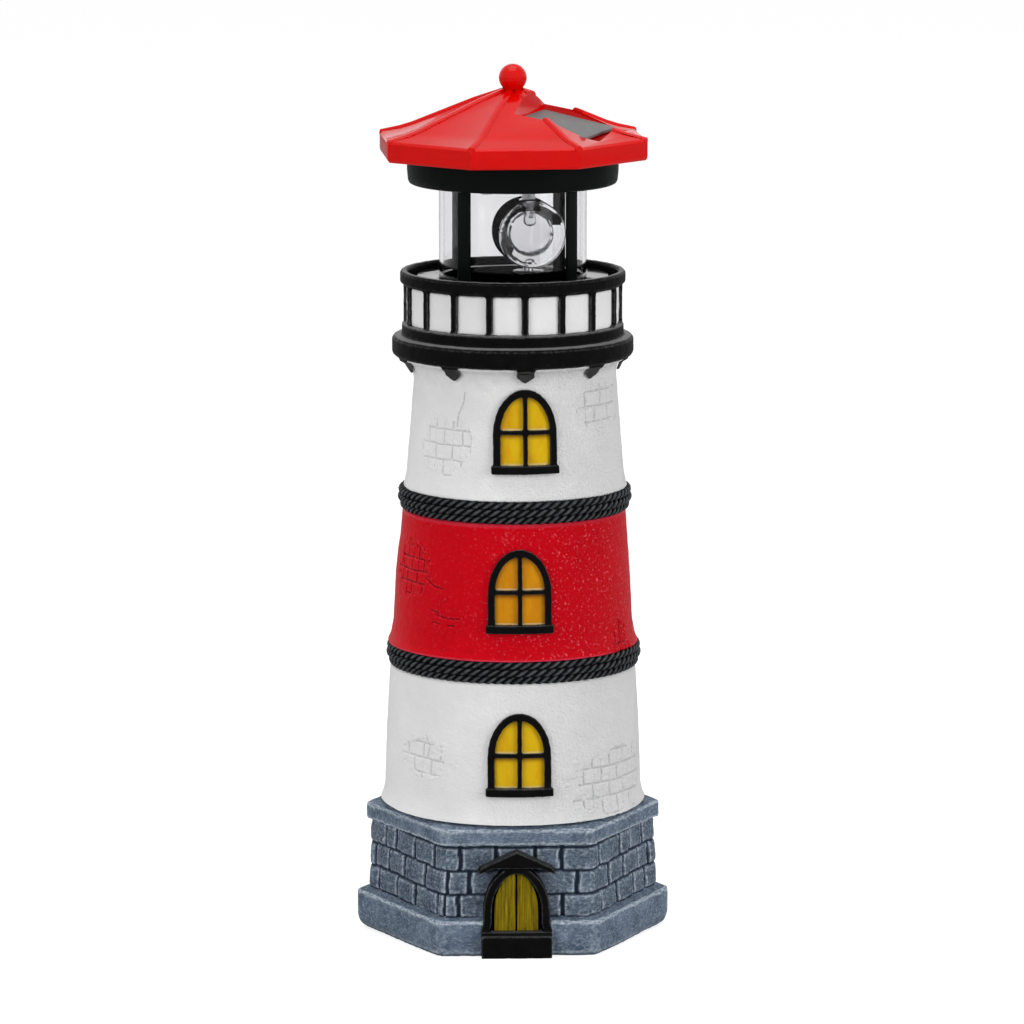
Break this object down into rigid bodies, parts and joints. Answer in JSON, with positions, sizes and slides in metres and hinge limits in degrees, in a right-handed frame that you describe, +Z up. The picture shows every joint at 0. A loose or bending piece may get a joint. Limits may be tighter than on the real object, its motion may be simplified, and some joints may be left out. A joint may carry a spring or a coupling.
{
  "type": "garden lighthouse ornament",
  "caption": "Garden lighthouse ornament: hollow cast tower on a stone plinth, with a lift-out solar lantern whose geared clear beacon drum turns about its lamp.",
  "frame": {"origin": "on the ground under the tower's axis, in the plane of the footing's underside", "axes": "+Z up along the tower's axis, -Y out through the door, +X to the right of someone who faces the door"},
  "size_m": [0.1292, 0.1165, 0.36],
  "materials": {
    "blue_grey_stone": "matte",
    "white_plaster": "matte",
    "red_plaster": "satin",
    "charcoal_rope": "matte",
    "black_paint": "matte",
    "window_black": "satin",
    "yellow_pane": "satin",
    "amber_pane": "satin",
    "olive_door": "matte",
    "gloss_black": "gloss",
    "satin_black": "satin",
    "gloss_red": "gloss",
    "clear_plastic": "polished",
    "lamp_epoxy": "polished",
    "solar_grey": "satin",
    "grey_plastic": "satin",
    "gear_plastic": "satin",
    "green_board": "satin",
    "component_black": "matte",
    "bright_steel": "satin",
    "brass": "satin",
    "battery_wrap": "satin"
  },
  "bodies": {
    "tower": {"plinth": "blue_grey_stone", "door_frame": "black_paint", "door_leaves": "olive_door", "lower_drum": "white_plaster", "middle_drum": "red_plaster", "upper_drum": "white_plaster", "lower_rope": "charcoal_rope", "upper_rope": "charcoal_rope", "lower_window_frame": "window_black", "middle_window_frame": "window_black", "upper_window_frame": "window_black", "lower_window_pane": "yellow_pane", "middle_window_pane": "amber_pane", "upper_window_pane": "yellow_pane", "gallery_deck": "black_paint", "parapet_wall": "white_plaster", "parapet_rail": "black_paint"},
    "lantern": {"lantern_base": "gloss_black", "lamp_tube": "clear_plastic", "lantern_posts": "satin_black", "roof_collar": "satin_black", "roof": "gloss_red", "roof_ball": "gloss_red", "solar_panel": "solar_grey", "roof_screws": "bright_steel", "circuit_board": "green_board", "board_screws": "bright_steel", "board_parts": "component_black", "lamp": "lamp_epoxy", "lamp_spacer": "grey_plastic", "spindle_bush": "brass", "idler_pin": "bright_steel", "gear_plate": "satin_black", "gear_plate_screws": "bright_steel", "motor": "bright_steel", "base_cover": "gloss_black", "base_cover_screws": "bright_steel", "battery": "battery_wrap", "battery_plus_contact": "bright_steel", "battery_spring_contact": "bright_steel", "battery_door": "gloss_black", "battery_door_screw": "bright_steel", "switch_body": "bright_steel"},
    "beacon": {"beacon_drum": "clear_plastic", "beacon_lenses": "clear_plastic", "turntable": "grey_plastic", "beacon_spindle": "bright_steel", "beacon_gear": "gear_plastic"},
    "idler": {"idler_gear": "gear_plastic"},
    "motor_rotor": {"motor_pinion": "brass"},
    "switch": {"switch_knob": "satin_black"}
  },
  "joints": [
    {"name": "lantern_lift", "type": "slide", "parent": "tower", "child": "lantern", "axis": [0, 0, 1], "range_m": [0, 0.06]},
    {"name": "beacon_spin", "type": "hinge", "parent": "lantern", "child": "beacon", "pos_m": [0.00649, 0.00036, 0.2664], "axis": [0, 0, 1], "continuous": true},
    {"name": "idler_spin", "type": "hinge", "parent": "lantern", "child": "idler", "pos_m": [-0.00958, 0.00848, 0.2664], "axis": [0, 0, 1], "continuous": true},
    {"name": "motor_spin", "type": "hinge", "parent": "lantern", "child": "motor_rotor", "pos_m": [-0.00547, -0.00905, 0.2664], "axis": [0, 0, 1], "continuous": true},
    {"name": "switch_slide", "type": "slide", "parent": "lantern", "child": "switch", "axis": [0.9984, 0.0558, 0], "range_m": [0, 0.003]}
  ],
  "couplings": [
    {"joint": "idler_spin", "follows": "beacon_spin", "ratio": -4},
    {"joint": "motor_spin", "follows": "beacon_spin", "ratio": 20}
  ]
}
